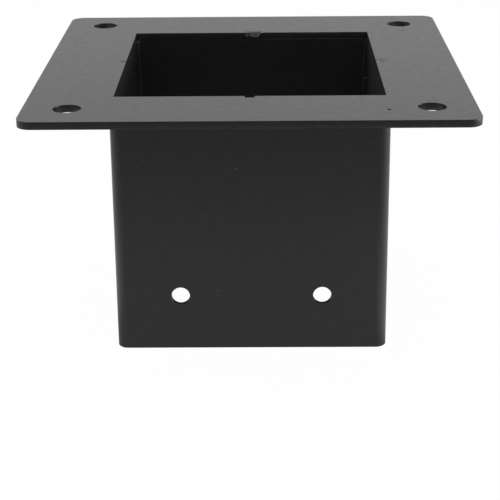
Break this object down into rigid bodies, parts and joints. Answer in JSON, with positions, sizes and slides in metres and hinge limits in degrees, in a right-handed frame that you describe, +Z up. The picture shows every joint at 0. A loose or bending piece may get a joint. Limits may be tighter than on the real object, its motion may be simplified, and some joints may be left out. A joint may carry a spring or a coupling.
{
  "type": "post base",
  "caption": "Square steel post base: a flat anchor plate with corner holes, welded over a folded square sleeve that takes a timber post and is drilled near its open end for screws.",
  "frame": {"origin": "centre of the sleeve's foot, which is the middle of the bottom of the part's box", "axes": "+Z up from the sleeve's open end to the flat face of the plate, +X to the right and +Y away from the viewer in the picture, along the sides of the square"},
  "size_m": [0.15, 0.15, 0.093],
  "materials": {
    "powder_coat": "satin black powder coat with a fine texture"
  },
  "bodies": {
    "root": {"base_plate": "powder_coat", "sleeve": "powder_coat", "seam_weld": "powder_coat", "fillet_weld_front": "powder_coat", "fillet_weld_back": "powder_coat", "fillet_weld_left": "powder_coat", "fillet_weld_right": "powder_coat", "tack_weld_front": "powder_coat", "tack_weld_back": "powder_coat", "tack_weld_left": "powder_coat", "tack_weld_right": "powder_coat"}
  },
  "joints": []
}
